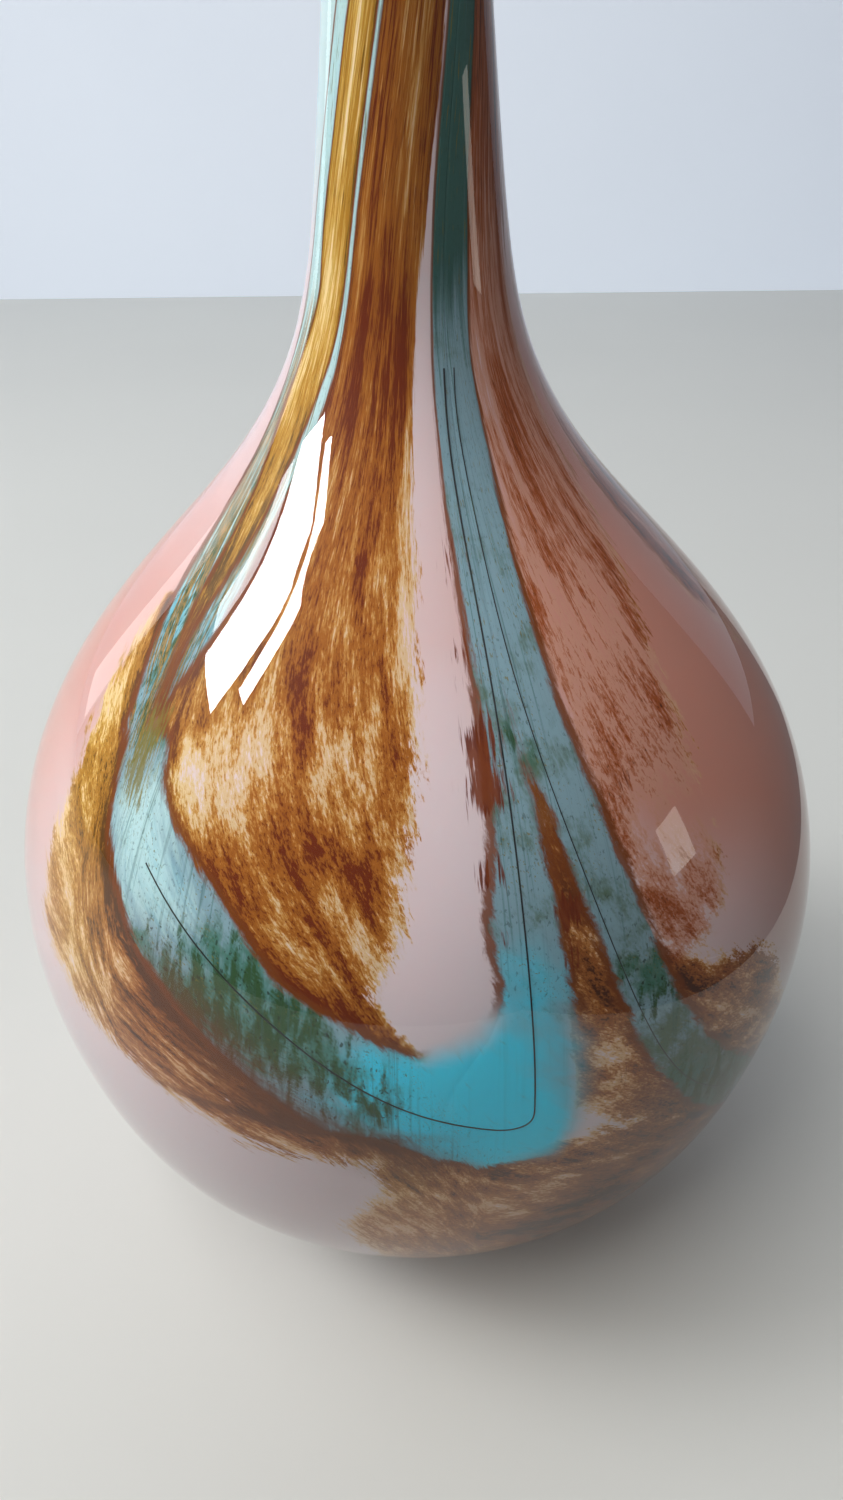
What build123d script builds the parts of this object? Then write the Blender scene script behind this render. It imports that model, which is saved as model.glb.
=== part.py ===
"""Hand blown art glass vase: a long-necked bottle of opal glass, decorated and cased in clear glass.

Millimetres, +Z up, origin at the centre of the flat base.  The vase's front faces -Y.
An angle is measured in degrees round the axis from the front, positive towards +X.
Each piece of decoration is described by spans: rows of (height, left angle, right angle).
"""

import os
from math import cos, degrees, hypot, radians, sin

from build123d import *

# driving dimensions -------------------------------------------------------------------------
height = 300.0
base_radius = 35.0
belly_radius = 80.0
neck_radius = 10.8
lip_radius = 16.0
lip_drop = 2.6
pontil_radius = 13.0
pontil_depth = 1.2
decor_depth = 0.8
decor_top = height - 10.0
thread_width = 0.45
back = 172.0

# the outside of the belly, shoulder and neck as (height, radius), from the base to under the lip
outside = [
    (0.0, base_radius),
    (3.6, 44.0),
    (10.4, 53.8),
    (28.0, 68.8),
    (49.6, 76.9),
    (74.4, belly_radius),
    (100.0, 75.0),
    (124.0, 61.1),
    (144.0, 42.9),
    (160.0, 28.5),
    (176.0, 19.7),
    (196.0, 15.5),
    (220.0, 13.0),
    (252.0, neck_radius),
    (278.0, 12.0),
    (height - lip_drop, lip_radius),
]

# how thick the clear casing and the opal under it are, as (height, thickness)
casing_wall = [(0.0, 4.5), (75.0, 3.2), (150.0, 2.4), (200.0, 2.0), (height, 1.9)]
opal_wall = [(0.0, 4.0), (40.0, 2.8), (150.0, 2.0), (200.0, 1.6), (height, 1.6)]

# how far the hot neck was twisted, as (height, degrees)
neck_start = 175.0
neck_twist = [
    (0.0, 0.0),
    (neck_start, 0.0),
    (190.0, 2.5),
    (200.0, 6.0),
    (210.0, 12.5),
    (220.0, 20.0),
    (240.0, 37.0),
    (270.0, 62.0),
    (height, 86.0),
]
neck_levels = [184.0, 196.0, 208.0, 220.0, 236.0, 252.0, 270.0, decor_top]

# spans of the turquoise ribbons
front_sweep = [
    (64.5, 2.0, 10.0),
    (70.0, -10.0, 10.0),
    (76.0, -17.5, 10.0),
    (82.0, -24.0, 8.0),
    (85.0, -27.0, 0.5),
    (90.0, -32.0, -8.0),
    (95.0, -37.0, -15.5),
    (100.0, -40.5, -20.0),
    (106.0, -44.5, -25.5),
    (112.0, -47.0, -33.0),
    (118.0, -48.5, -38.5),
    (123.0, -49.0, -41.0),
]
front_leg = [
    (62.0, 9.0, 13.0),
    (65.0, 5.0, 17.5),
    (70.0, 3.0, 18.6),
    (78.0, 3.0, 18.6),
    (84.0, 5.5, 18.2),
    (90.0, 8.4, 17.8),
    (100.0, 8.8, 17.3),
    (112.0, 9.4, 16.6),
    (122.0, 10.1, 15.8),
    (132.0, 10.2, 15.2),
    (150.0, 10.0, 15.4),
    (162.0, 9.9, 16.4),
    (neck_start, 10.6, 17.8),
    (190.0, 11.5, 18.0),
]
right_sweep = [
    (40.0, 56.0, 70.0),
    (45.0, 50.0, 61.0),
    (50.0, 45.0, 57.0),
    (55.0, 40.5, 53.5),
    (60.0, 36.8, 49.5),
    (65.0, 33.6, 45.0),
    (70.0, 31.2, 41.0),
    (77.0, 27.8, 36.8),
    (85.0, 25.4, 33.2),
    (95.0, 23.0, 30.0),
    (106.0, 20.4, 27.6),
    (118.0, 17.9, 25.3),
    (125.0, 15.9, 24.3),
    (132.0, 13.2, 23.8),
    (140.0, 12.5, 24.2),
    (150.0, 12.5, 25.5),
    (162.0, 13.0, 28.4),
    (neck_start, 14.0, 30.4),
    (190.0, 14.5, 34.0),
]
right_rise = [
    (40.0, 62.0, 82.0),
    (46.0, 66.0, 87.0),
    (56.0, 75.0, 92.0),
    (72.0, 87.0, 101.0),
    (92.0, 97.0, 108.0),
    (112.0, 103.0, 113.0),
    (134.0, 106.0, 115.0),
    (156.0, 108.0, 118.0),
    (neck_start, 109.0, 121.0),
]
left_outer = [
    (121.0, -50.5, -45.0),
    (128.0, -53.5, -47.5),
    (136.0, -58.0, -50.5),
    (145.0, -62.0, -53.0),
    (154.0, -65.5, -56.5),
    (164.0, -71.0, -64.5),
    (neck_start, -76.0, -65.5),
    (190.0, -79.0, -66.5),
    (205.0, -81.0, -68.0),
]
left_inner = [
    (122.0, -45.6, -42.4),
    (132.0, -46.4, -42.8),
    (145.0, -46.0, -41.2),
    (156.0, -46.0, -42.0),
    (166.0, -46.0, -40.4),
    (neck_start, -43.0, -38.4),
    (190.0, -41.8, -38.0),
]
back_merge = [
    (121.0, 124.0, 130.0),
    (132.0, 120.0, 127.0),
    (144.0, 116.0, 122.5),
    (158.0, 112.0, 117.0),
]

# spans of the chip of olive glass and of the panels of crushed glass
knot = [
    (113.5, -44.0, -42.0),
    (117.0, -47.0, -41.5),
    (121.0, -47.2, -42.2),
    (125.5, -45.9, -43.2),
]
front_frit = [
    (85.5, -12.0, 0.6),
    (88.0, -16.0, -2.5),
    (92.0, -22.0, -4.8),
    (97.0, -26.0, -4.2),
    (102.0, -31.0, -2.2),
    (108.0, -36.0, -1.8),
    (116.0, -42.0, -0.8),
    (124.0, -44.2, 0.3),
    (134.0, -44.6, 0.4),
    (148.0, -43.5, 0.6),
    (162.0, -43.6, 0.6),
    (neck_start, -40.7, 1.8),
    (190.0, -40.0, 4.5),
    (202.0, -40.0, 6.0),
]
golden_frit = [
    (122.0, -48.5, -44.2),
    (128.0, -50.5, -44.6),
    (136.0, -54.0, -44.6),
    (146.0, -58.0, -43.6),
    (156.0, -62.0, -44.0),
    (166.0, -69.0, -43.5),
    (neck_start, -71.0, -40.7),
    (190.0, -73.0, -40.0),
]
left_frit = [
    (63.0, -15.0, 10.0),
    (67.0, -28.0, 6.0),
    (71.0, -37.0, 0.0),
    (76.0, -48.0, -5.0),
    (83.0, -57.0, -12.0),
    (92.0, -58.5, -22.0),
    (102.0, -59.0, -31.0),
    (112.0, -58.5, -40.0),
    (122.0, -61.0, -47.5),
    (130.0, -62.5, -51.0),
    (137.0, -62.0, -56.0),
]
base_frit = [
    (15.0, -8.0, 62.0),
    (24.0, -9.0, 58.0),
    (34.0, -9.0, 53.0),
    (42.0, -11.0, 51.0),
    (50.0, -8.0, 46.0),
    (57.0, -5.0, 44.0),
    (64.5, -10.0, 42.0),
]
between_frit = [
    (63.0, 24.5, 40.0),
    (69.0, 21.5, 37.0),
    (76.0, 16.5, 32.5),
    (90.0, 13.0, 28.0),
    (102.0, 13.0, 24.8),
    (112.0, 13.0, 22.5),
    (124.0, 12.8, 19.0),
    (133.0, 12.5, 17.0),
]
right_frit = [
    (93.0, 27.0, 36.0),
    (98.0, 25.5, 42.0),
    (110.0, 23.0, 43.0),
    (122.0, 21.0, 45.0),
    (134.0, 19.5, 49.0),
    (144.0, 20.0, 56.0),
    (156.0, 21.5, 62.5),
    (neck_start, 24.0, 66.0),
    (190.0, 26.0, 68.0),
]
streak_frit = [
    (122.0, 79.0, 85.0),
    (132.0, 72.0, 88.0),
    (144.0, 69.5, 91.0),
    (158.0, 71.5, 93.0),
    (neck_start, 76.0, 97.0),
]
low_right_frit = [
    (51.0, 50.5, 64.0),
    (57.0, 45.0, 62.0),
    (64.0, 40.0, 60.0),
    (72.0, 35.0, 55.5),
    (80.0, 31.0, 52.5),
    (87.0, 29.0, 45.0),
    (95.0, 27.0, 33.0),
]
back_low_frit = [
    (63.0, 157.0, 181.0),
    (71.0, 137.0, 172.0),
    (83.0, 122.0, 160.0),
    (96.0, 116.0, 147.0),
    (108.0, 118.0, 135.0),
    (118.0, 121.0, 127.0),
]
back_gold_frit = [
    (72.0, -132.0, -120.0),
    (84.0, -146.0, -112.0),
    (102.0, -150.0, -110.0),
    (126.0, -148.0, -112.0),
    (150.0, -145.0, -114.0),
    (neck_start, -142.0, -116.0),
]

# the dark threads' courses as (angle, height), each from its lower end up
front_leg_thread = [
    (13.0, 70.2),
    (12.9, 84.0),
    (12.6, 106.0),
    (13.0, 132.0),
    (13.4, 156.0),
    (15.6, 174.0),
]
front_sweep_thread = [
    (11.6, 69.3),
    (3.0, 73.0),
    (-5.0, 78.2),
    (-14.0, 86.1),
    (-22.0, 93.3),
    (-30.0, 100.2),
    (-38.0, 107.0),
]
right_thread = [
    (51.0, 50.6),
    (42.0, 59.0),
    (33.4, 70.0),
    (28.4, 81.0),
    (23.2, 100.0),
    (19.4, 119.0),
    (17.2, 138.0),
    (17.8, 155.0),
    (21.0, 174.0),
]


def along(table, position):
    """Read a (position, value) table at a position, on straight lines between its rows."""
    for (low, start), (high, end) in zip(table, table[1:]):
        if position <= high:
            return start + (end - start) * max(0.0, position - low) / (high - low)
    return table[-1][1]


def inset(edge, walls, extra=0.0, steps=26):
    """Points (radius, height) inside an outline, by the thickness of the walls plus an extra depth."""
    points = []
    for step in range(steps + 1):
        at = edge @ (step / steps)
        direction = edge % (step / steps)
        depth = sum(along(table, at.Y) for table in walls) + extra
        points.append((at.X - direction.Y * depth, at.Y + direction.X * depth))
    return points


def turned(spans, degrees):
    """The same spans, moved round the vase."""
    return [(level, left + degrees, right + degrees) for level, left, right in spans]


def up_the_neck(spans):
    """Carry the last row of some spans up to the top of the decoration."""
    last, left, right = spans[-1]
    return spans + [(level, left, right) for level in neck_levels if level > last + 2.0]


def around(radius, degrees, level=0.0):
    """The point at a radius, an angle from the front and a height, twisted with the neck."""
    angle = radians(degrees + along(neck_twist, level))
    return (radius * sin(angle), -radius * cos(angle))


with BuildLine() as outlines:
    outside_edge = Spline([(radius, at) for at, radius in outside])
seam_points = inset(outside_edge, [casing_wall])
groove_points = inset(outside_edge, [casing_wall], decor_depth)
cavity_points = inset(outside_edge, [casing_wall, opal_wall])
seam_profile = [(level, radius) for radius, level in seam_points]


def cutter(spans):
    """A wedge from inside the bubble to outside the vase that bounds one piece of decoration."""
    with BuildPart() as wedge:
        for level, left, right in spans:
            radius = along(seam_profile, level)
            near = radius * 0.6
            far = radius + 4.0
            middle = (left + right) / 2
            with BuildSketch(Plane.XY.offset(level)):
                with BuildLine():
                    Line(around(near, left, level), around(far, left, level))
                    ThreePointArc(
                        around(far, left, level), around(far, middle, level), around(far, right, level)
                    )
                    Line(around(far, right, level), around(near, right, level))
                    ThreePointArc(
                        around(near, right, level), around(near, middle, level), around(near, left, level)
                    )
                make_face()
        loft()
    return wedge.part


def strip(course):
    """The spans of a thread of one width that follows a course of (angle, height)."""
    spans = []
    for index, (angle, level) in enumerate(course):
        first_angle, first_level = course[max(index - 1, 0)]
        last_angle, last_level = course[min(index + 1, len(course) - 1)]
        radius = along(seam_profile, level)
        run = radius * radians(last_angle - first_angle)
        rise = last_level - first_level
        half = degrees(thread_width / 2 * hypot(run, rise) / rise / radius)
        spans.append((level, angle - half, angle + half))
    return spans


def lay(wedges, under=()):
    """Fill the wedges with glass, flush in the opal, and leave out what the wedges on top of it hold."""
    for wedge in wedges:
        add(wedge & decor_layer.part)
    for wedge in under:
        add(wedge, mode=Mode.SUBTRACT)


# the layer of the opal that the decoration is melted into, and the same layer open to the outside
with BuildPart() as decor_layer:
    with BuildSketch(Plane.XZ):
        with BuildLine():
            seam = Spline(seam_points)
            groove = Spline(groove_points)
            Line(seam @ 0, groove @ 0)
            Line(seam @ 1, groove @ 1)
        make_face()
    revolve(axis=Axis.Z)

with BuildPart() as pocket_layer:
    with BuildSketch(Plane.XZ):
        with BuildLine():
            groove = Spline(groove_points)
            wall = Spline([(radius, at) for at, radius in outside])
            Line(groove @ 0, wall @ 0)
            Line(groove @ 1, wall @ 1)
        make_face()
    revolve(axis=Axis.Z)

# the wedges that bound each piece of decoration, top layer first
knot_wedges = [cutter(knot)]
leg_wedges = [cutter(up_the_neck(front_leg))]
sweep_wedges = [cutter(front_sweep)]
right_wedges = [cutter(up_the_neck(right_sweep))]
rise_wedges = [cutter(up_the_neck(right_rise))]
outer_wedges = [cutter(up_the_neck(left_outer))]
inner_wedges = [cutter(up_the_neck(left_inner))]
back_leg_wedges = [cutter(up_the_neck(turned(front_leg, back)))]
back_sweep_wedges = [cutter(turned(front_sweep, back))]
back_merge_wedges = [cutter(back_merge)]
front_wedges = leg_wedges + sweep_wedges
back_wedges = back_leg_wedges + back_sweep_wedges + back_merge_wedges
ribbon_wedges = (
    knot_wedges + front_wedges + right_wedges + rise_wedges + outer_wedges + inner_wedges + back_wedges
)
between_wedges = [cutter(between_frit)]
front_frit_wedges = [cutter(up_the_neck(front_frit))]
golden_wedges = [cutter(up_the_neck(golden_frit))]
left_frit_wedges = [cutter(left_frit)]
base_frit_wedges = [cutter(base_frit)]
right_frit_wedges = [cutter(up_the_neck(right_frit))]
streak_wedges = [cutter(up_the_neck(streak_frit))]
low_right_wedges = [cutter(low_right_frit)]
back_frit_wedges = [cutter(up_the_neck(turned(front_frit, back)))]
back_low_wedges = [cutter(back_low_frit)]
back_gold_wedges = [cutter(up_the_neck(back_gold_frit))]
frit_wedges = (
    between_wedges + front_frit_wedges + golden_wedges + left_frit_wedges + base_frit_wedges
    + right_frit_wedges + streak_wedges + low_right_wedges + back_frit_wedges + back_low_wedges
    + back_gold_wedges
)
leg_thread_wedges = [cutter(strip(front_leg_thread))]
sweep_thread_wedges = [cutter(strip(front_sweep_thread))]
right_thread_wedges = [cutter(strip(right_thread))]
back_leg_thread_wedges = [cutter(turned(strip(front_leg_thread), back))]
back_sweep_thread_wedges = [cutter(turned(strip(front_sweep_thread), back))]

# clear casing: ground base with a polished pontil hollow, belly, neck, and a lip over the opal's end
with BuildPart() as clear_casing:
    with BuildSketch(Plane.XZ):
        with BuildLine():
            Line((0, pontil_depth), (pontil_radius * 0.5, pontil_depth))
            Line((pontil_radius * 0.5, pontil_depth), (pontil_radius, 0))
            Line((pontil_radius, 0), (base_radius, 0))
            wall = Spline([(radius, at) for at, radius in outside])
            seam = Spline(seam_points)
            bore_edge = Vector(*cavity_points[-1])
            lip_middle = ((wall @ 1).X + bore_edge.X) / 2
            ThreePointArc(wall @ 1, (lip_middle, height), bore_edge)
            Line(bore_edge, seam @ 1)
            Line(seam @ 0, (0, (seam @ 0).Y))
            Line((0, (seam @ 0).Y), (0, pontil_depth))
        make_face()
    revolve(axis=Axis.Z)
clear_casing.part.label = "clear_casing"

# opal core: the inner bubble, with a pocket for each piece of decoration
with BuildPart() as opal_core:
    with BuildSketch(Plane.XZ):
        with BuildLine():
            seam = Spline(seam_points)
            cavity = Spline(cavity_points)
            Line(seam @ 1, cavity @ 1)
            Line(seam @ 0, (0, (seam @ 0).Y))
            Line((0, (seam @ 0).Y), (0, (cavity @ 0).Y))
            Line((0, (cavity @ 0).Y), cavity @ 0)
        make_face()
    revolve(axis=Axis.Z)
    for wedge in ribbon_wedges + frit_wedges:
        add(wedge & pocket_layer.part, mode=Mode.SUBTRACT)
opal_core.part.label = "opal_core"

# threads, melted flush into the ribbons
with BuildPart() as thread_front_leg:
    lay(leg_thread_wedges)
thread_front_leg.part.label = "thread_front_leg"

with BuildPart() as thread_front_sweep:
    lay(sweep_thread_wedges)
thread_front_sweep.part.label = "thread_front_sweep"

with BuildPart() as thread_right:
    lay(right_thread_wedges)
thread_right.part.label = "thread_right"

with BuildPart() as thread_back_leg:
    lay(back_leg_thread_wedges)
thread_back_leg.part.label = "thread_back_leg"

with BuildPart() as thread_back_sweep:
    lay(back_sweep_thread_wedges)
thread_back_sweep.part.label = "thread_back_sweep"

# the chip of olive glass where the left strands meet
with BuildPart() as knot_patch:
    lay(knot_wedges)
knot_patch.part.label = "knot_patch"

# ribbons
with BuildPart() as ribbon_front_leg:
    lay(leg_wedges, under=leg_thread_wedges)
ribbon_front_leg.part.label = "ribbon_front_leg"

with BuildPart() as ribbon_front_sweep:
    lay(sweep_wedges, under=leg_wedges + knot_wedges + sweep_thread_wedges)
ribbon_front_sweep.part.label = "ribbon_front_sweep"

with BuildPart() as ribbon_right:
    lay(right_wedges, under=front_wedges + right_thread_wedges)
ribbon_right.part.label = "ribbon_right"

with BuildPart() as ribbon_right_rise:
    lay(rise_wedges, under=right_wedges)
ribbon_right_rise.part.label = "ribbon_right_rise"

with BuildPart() as ribbon_left_outer:
    lay(outer_wedges, under=knot_wedges + sweep_wedges)
ribbon_left_outer.part.label = "ribbon_left_outer"

with BuildPart() as ribbon_left_inner:
    lay(inner_wedges, under=knot_wedges + sweep_wedges)
ribbon_left_inner.part.label = "ribbon_left_inner"

with BuildPart() as ribbon_back_leg:
    lay(back_leg_wedges, under=back_leg_thread_wedges)
ribbon_back_leg.part.label = "ribbon_back_leg"

with BuildPart() as ribbon_back_sweep:
    lay(back_sweep_wedges, under=back_leg_wedges + back_sweep_thread_wedges)
ribbon_back_sweep.part.label = "ribbon_back_sweep"

with BuildPart() as ribbon_back_merge:
    lay(back_merge_wedges, under=back_sweep_wedges + rise_wedges)
ribbon_back_merge.part.label = "ribbon_back_merge"

# panels of crushed glass, under the ribbons
with BuildPart() as frit_between_legs:
    lay(between_wedges, under=front_wedges + right_wedges)
frit_between_legs.part.label = "frit_between_legs"

with BuildPart() as frit_front_panel:
    lay(front_frit_wedges, under=front_wedges + inner_wedges + knot_wedges)
frit_front_panel.part.label = "frit_front_panel"

with BuildPart() as frit_golden_panel:
    lay(golden_wedges, under=front_wedges + inner_wedges + outer_wedges + knot_wedges)
frit_golden_panel.part.label = "frit_golden_panel"

with BuildPart() as frit_left_panel:
    lay(left_frit_wedges, under=front_wedges + outer_wedges + knot_wedges)
frit_left_panel.part.label = "frit_left_panel"

with BuildPart() as frit_base_patch:
    lay(base_frit_wedges, under=front_wedges + right_wedges + left_frit_wedges + between_wedges)
frit_base_patch.part.label = "frit_base_patch"

with BuildPart() as frit_right_panel:
    lay(right_frit_wedges, under=right_wedges)
frit_right_panel.part.label = "frit_right_panel"

with BuildPart() as frit_right_streak:
    lay(streak_wedges)
frit_right_streak.part.label = "frit_right_streak"

with BuildPart() as frit_low_right:
    lay(low_right_wedges, under=right_wedges + right_frit_wedges)
frit_low_right.part.label = "frit_low_right"

with BuildPart() as frit_back_panel:
    lay(back_frit_wedges, under=back_wedges + rise_wedges)
frit_back_panel.part.label = "frit_back_panel"

with BuildPart() as frit_back_low:
    lay(back_low_wedges, under=back_wedges + rise_wedges)
frit_back_low.part.label = "frit_back_low"

with BuildPart() as frit_back_gold:
    lay(back_gold_wedges)
frit_back_gold.part.label = "frit_back_gold"

# each piece without the crumbs that the cuts leave beside it
os.makedirs("parts", exist_ok=True)
for piece in (
    clear_casing, opal_core, thread_front_leg, thread_front_sweep, thread_right, thread_back_leg,
    thread_back_sweep, knot_patch, ribbon_front_leg, ribbon_front_sweep, ribbon_right,
    ribbon_right_rise, ribbon_left_outer, ribbon_left_inner, ribbon_back_leg, ribbon_back_sweep,
    ribbon_back_merge, frit_between_legs, frit_front_panel, frit_golden_panel, frit_left_panel,
    frit_base_patch, frit_right_panel, frit_right_streak, frit_low_right, frit_back_panel,
    frit_back_low, frit_back_gold,
):
    glass = piece.part.solids().sort_by(SortBy.VOLUME)[-1]
    glass.label = piece.part.label
    export_step(glass, f"parts/{glass.label}.step")
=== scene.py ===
"""Looks of a hand blown art glass vase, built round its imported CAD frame.

Metres, +Z up, the front of the decoration faces -Y.  An angle is in degrees round the axis from the
front, positive towards +X.  Each piece of decoration is a thin shell in the opal, with the outline of
its CAD node, and the clear casing lies over all of them, so that the glass bends the view of them.
"""

from math import cos, pi, radians, sin

import bpy
import numpy as np
from mathutils import Matrix, Vector


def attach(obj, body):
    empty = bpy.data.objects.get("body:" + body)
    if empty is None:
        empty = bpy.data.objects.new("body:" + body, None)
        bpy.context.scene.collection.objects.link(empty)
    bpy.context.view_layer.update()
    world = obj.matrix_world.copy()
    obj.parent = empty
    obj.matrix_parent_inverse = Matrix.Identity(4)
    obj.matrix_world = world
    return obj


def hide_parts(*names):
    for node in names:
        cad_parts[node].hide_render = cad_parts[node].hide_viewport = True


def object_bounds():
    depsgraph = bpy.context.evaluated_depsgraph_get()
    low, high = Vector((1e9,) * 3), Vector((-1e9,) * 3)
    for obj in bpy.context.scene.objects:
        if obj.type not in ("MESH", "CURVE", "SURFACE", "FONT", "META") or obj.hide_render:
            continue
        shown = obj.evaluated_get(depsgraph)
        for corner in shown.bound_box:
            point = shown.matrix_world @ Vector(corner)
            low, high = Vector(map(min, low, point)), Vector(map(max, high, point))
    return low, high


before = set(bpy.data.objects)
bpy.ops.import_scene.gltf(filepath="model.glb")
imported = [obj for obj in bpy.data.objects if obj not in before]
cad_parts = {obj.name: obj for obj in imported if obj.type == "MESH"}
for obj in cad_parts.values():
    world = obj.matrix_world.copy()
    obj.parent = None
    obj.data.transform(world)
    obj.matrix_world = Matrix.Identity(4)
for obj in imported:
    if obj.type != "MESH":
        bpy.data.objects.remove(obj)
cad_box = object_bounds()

MM = 0.001
TOP = cad_box[1][2]

# the height where the neck's twist begins, and how squarely a face of a wall must look in or out
TWIST_START = 175 * MM
WALL_FACING = 0.35

# rings and columns of the big surfaces, and the spacing of the decoration's cells
WALL_RINGS = 220
HIDDEN_RINGS = 50
WALL_COLUMNS = 288
CELL = 1.0 * MM

# depths from the seam between opal and casing: the opal lies under it, each piece of decoration
# stands proud of the opal by a step more than the one before, and the casing's own inner face is
# hidden in the opal
OPAL_SINK = 0.06 * MM
DECOR_PROUD = 0.02 * MM
DECOR_STEP = 0.002 * MM
DECOR_THICK = 0.5 * MM
CASING_SINK = 0.45 * MM

# the lip: where the casing's wall ends below the top, and how deep its rounding is
LIP_START = 2.7 * MM
LIP_DROP = 2.6 * MM

# the drawn threads, the fine one on the right ribbon
THREAD_RADIUS = 0.14 * MM
FINE_THREAD_RADIUS = THREAD_RADIUS * 0.65
THREAD_PROUD = 4 * DECOR_PROUD

# colours as they look in daylight, red, green, blue from 0 to 255
COLOURS = {
    "opal": (208, 193, 195),
    # the opal's own pink, also used for the painted glow of daylight through the glass at the left edge
    "opal pink": (192, 136, 120),
    "cream amber": (200, 172, 132),
    "light amber": (180, 130, 64),
    "mid amber": (148, 88, 24),
    "dark amber": (98, 35, 3),
    "cream gold": (222, 196, 140),
    "light gold": (194, 156, 76),
    "mid gold": (166, 120, 34),
    "dark gold": (92, 64, 12),
    "cream brown": (204, 164, 122),
    "light brown": (172, 114, 58),
    "mid brown": (140, 80, 32),
    "dark brown": (70, 34, 10),
    "cream rust": (192, 142, 122),
    "light rust": (170, 108, 80),
    "mid rust": (146, 74, 32),
    "dark rust": (70, 34, 18),
    "turquoise": (60, 206, 232),
    "turquoise grey": (126, 156, 166),
    "turquoise shade": (84, 106, 88),
    "turquoise pale": (180, 212, 212),
    "turquoise deep": (56, 92, 86),
    "moss": (44, 72, 28),
    "soot": (30, 40, 24),
    "olive": (116, 104, 34),
    "fringe": (112, 56, 14),
    "bark": (116, 54, 18),
    "smear": (98, 54, 26),
    "sea": (58, 112, 96),
    "thread": (18, 26, 28),
}

# what each kind of glass covers: the kind and the start of its CAD nodes' names
KINDS = {
    "turquoise": ("ribbon_",),
    "amber": ("frit_front_panel", "frit_back_panel"),
    "gold": ("frit_golden_panel", "frit_back_gold"),
    "brown": ("frit_left_panel", "frit_base_patch", "frit_between_legs", "frit_low_right", "frit_back_low"),
    "rust": ("frit_right_panel", "frit_right_streak"),
    "olive": ("knot_patch",),
}

# how much glass grain each kind of crushed glass holds at its middle
LOADS = {"amber": 0.54, "gold": 0.46, "brown": 0.48, "rust": 0.13}

# how softly pieces of decoration run together, in millimetres: pieces of one kind, ribbons where
# they melted, and all the crushed glass
KIND_BLEND = 3.0
MELTED_BLEND = 14.0
COVER_BLEND = 5.0

# the smallest radius in millimetres that a spot's width is measured at, so that it narrows with the neck
SPOT_RADIUS = 45

# how the decoration leans where it was combed: degrees per millimetre at each height
LEAN = [
    (0, 2.0), (50, 2.0), (66, 1.7), (85, 1.3), (100, 0.8), (120, 0.45), (140, 0.12), (160, 0.0),
    (300, 0.0),
]

# soft spots of extra colour: (angle, height mm, size mm, amount)
SOFT_SPOTS = [
    (14, 78, 16, 1.2), (5, 85, 8, 1.0), (18, 69, 9, 1.0), (184, 78, 16, 1.2),
]
BRIGHT_SPOTS = [
    (-52, 138, 12, 0.5), (-60, 160, 14, 0.4), (6, 76, 16, 1.1), (-6, 80, 10, 0.6),
    (14, 66, 10, 0.6), (-36, 106, 10, 0.3), (12, 96, 12, 0.4), (178, 78, 18, 1.0),
    (36, 66, 12, 0.2),
]
PALE_SPOTS = [
    (-37, 104, 8, 0.6), (-41, 113, 8, 0.7), (-30, 101, 6, 0.4), (-44, 150, 14, 0.6),
    (-58, 150, 14, 0.4), (-44, 175, 14, 0.8), (-68, 180, 20, 0.9), (-72, 210, 24, 0.9),
    (-40, 200, 16, 0.8), (-40, 230, 26, 0.6),
]
GOLD_SPOTS = [
    (16, 122, 7, 1.0), (-54, 104, 16, 0.7), (-48, 84, 12, 0.6), (-60, 122, 14, 0.9),
    (-40, 114, 10, 0.5), (-36, 134, 10, 0.4), (-4, 58, 8, 0.3),
]
BARK_SPOTS = [
    (9.8, 121, 4, 1.0), (10.0, 127, 4, 0.9), (9.0, 111, 3, 0.8), (9.3, 137, 4, 0.6),
    (18.6, 105, 3, 1.0), (18.0, 98, 3, 0.7), (10.2, 148, 5, 0.5), (9.0, 102, 3, 0.5),
    (30, 120, 3, 0.5), (24, 76, 3, 0.5),
]
VEIL_SPOTS = [
    (-51, 132, 9, 0.9), (-57, 146, 12, 1.0), (-62, 162, 14, 1.0), (-68, 176, 14, 0.8),
    (-46, 124, 6, 0.9), (-46, 150, 14, 0.5),
]
SHADE_SPOTS = [
    (40, 62, 14, 0.8), (20, 122, 6, 0.5), (30, 82, 9, 0.8), (36, 70, 10, 0.9), (44, 56, 12, 1.0),
    (27, 96, 8, 0.6), (23, 112, 7, 0.5), (15, 130, 8, 0.4), (14, 108, 6, 0.3),
]
# the opal's own pink tint on the right and back; the big spot at the left edge (-96) is painted glow, the
# pink of daylight passing through the glass from the window side
PINK_AND_GLOW_SPOTS = [
    (62, 138, 44, 1.1), (84, 114, 46, 0.8), (-96, 114, 56, 1.0), (60, 84, 22, 0.25),
    (130, 150, 40, 0.5), (36, 118, 16, 0.4), (96, 180, 40, 0.4),
]
GREEN_SPOTS = [
    (-21, 91, 10, 1.0), (-14, 84, 9, 0.9), (-28, 88, 9, 0.9), (-7, 77, 7, 0.7), (-34, 95, 7, 0.5),
    (38, 62, 14, 0.9), (48, 52, 12, 1.0), (28, 90, 9, 0.6), (15, 126, 4, 0.4), (-46, 124, 8, 0.7),
    (-50, 136, 9, 0.6), (150, 88, 14, 0.9),
]
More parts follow.
